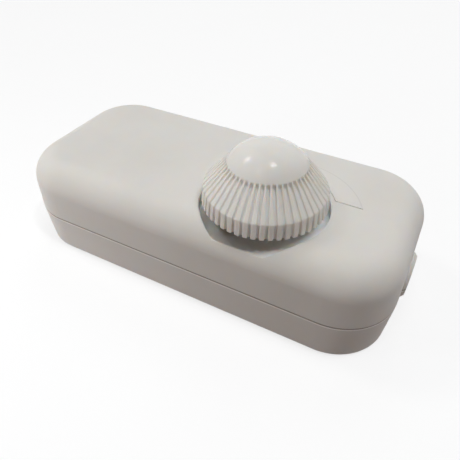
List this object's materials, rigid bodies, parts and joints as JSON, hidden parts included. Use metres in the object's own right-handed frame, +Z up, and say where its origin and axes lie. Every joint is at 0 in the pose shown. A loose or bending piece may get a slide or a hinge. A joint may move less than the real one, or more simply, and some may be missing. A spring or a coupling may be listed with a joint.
{
  "type": "rotary cord dimmer",
  "caption": "Oblong plastic in-line dimmer for a lamp cord, with rounded shoulders, a cord inlet at each end and a fluted, domed knob that turns to switch on and set the brightness.",
  "frame": {"origin": "middle of the flat base that the dimmer rests on", "axes": "+X along the case from the supply cord to the lamp cord, +Y to the back, away from the side where the knob's recess runs out, +Z up through the knob"},
  "size_m": [0.0916, 0.042, 0.0372],
  "materials": {
    "case_plastic": "moulded off-white plastic, satin",
    "knob_plastic": "moulded off-white plastic, polished on the dome",
    "screw_steel": "zinc-plated steel",
    "shaft_metal": "turned, satin",
    "spring_metal": "rolled spring strip",
    "cast_metal": "die cast",
    "can_metal": "drawn and tinned",
    "laminate": "brown laminate with a carbon track",
    "switch_plastic": "black moulding",
    "tinned_wire": "tinned",
    "board_laminate": "phenolic board, solder mask below",
    "sink_aluminium": "folded sheet, mill finish",
    "black_epoxy": "moulded epoxy",
    "ferrite": "fired ferrite, dull",
    "enamelled_copper": "enamelled winding wire",
    "film_case": "moulded case",
    "red_case": "moulded case",
    "resistor_enamel": "enamelled body",
    "diode_glass": "blue glass bead",
    "fuse_glass": "clear tube",
    "nickel_cap": "nickel plated",
    "clip_bronze": "tinned bronze strip",
    "terminal_plastic": "green moulding",
    "terminal_brass": "nickel-plated brass",
    "clamp_plastic": "moulded grey-white plastic"
  },
  "bodies": {
    "housing": {"upper_shell": "case_plastic", "lower_shell": "case_plastic", "case_screws": "screw_steel", "pot_bush": "cast_metal", "pot_track": "laminate", "pot_pins": "tinned_wire", "pot_can": "can_metal", "pot_switch": "switch_plastic", "circuit_board": "board_laminate", "heat_sink": "sink_aluminium", "triac_tab": "nickel_cap", "triac_package": "black_epoxy", "triac_leads": "tinned_wire", "triac_screw": "screw_steel", "triac_nut": "screw_steel", "choke_core": "ferrite", "choke_winding": "enamelled_copper", "film_capacitor": "film_case", "timing_capacitor": "red_case", "resistors": "resistor_enamel", "trigger_diode": "diode_glass", "fuse_glass": "fuse_glass", "fuse_wire": "tinned_wire", "fuse_caps": "nickel_cap", "fuse_clips": "clip_bronze", "input_terminal": "terminal_plastic", "output_terminal": "terminal_plastic", "terminal_cages": "terminal_brass", "terminal_screws": "screw_steel", "input_cord_clamp": "clamp_plastic", "output_cord_clamp": "clamp_plastic", "clamp_screws": "screw_steel"},
    "dial": {"knob": "knob_plastic", "pot_shaft": "shaft_metal", "shaft_clip": "spring_metal", "pot_wiper": "spring_metal"}
  },
  "joints": [
    {"name": "knob_turn", "type": "hinge", "parent": "housing", "child": "dial", "pos_m": [0.0144, -0.0073, 0.0244], "axis": [0, 0, -1], "range_deg": [0, 300]}
  ]
}
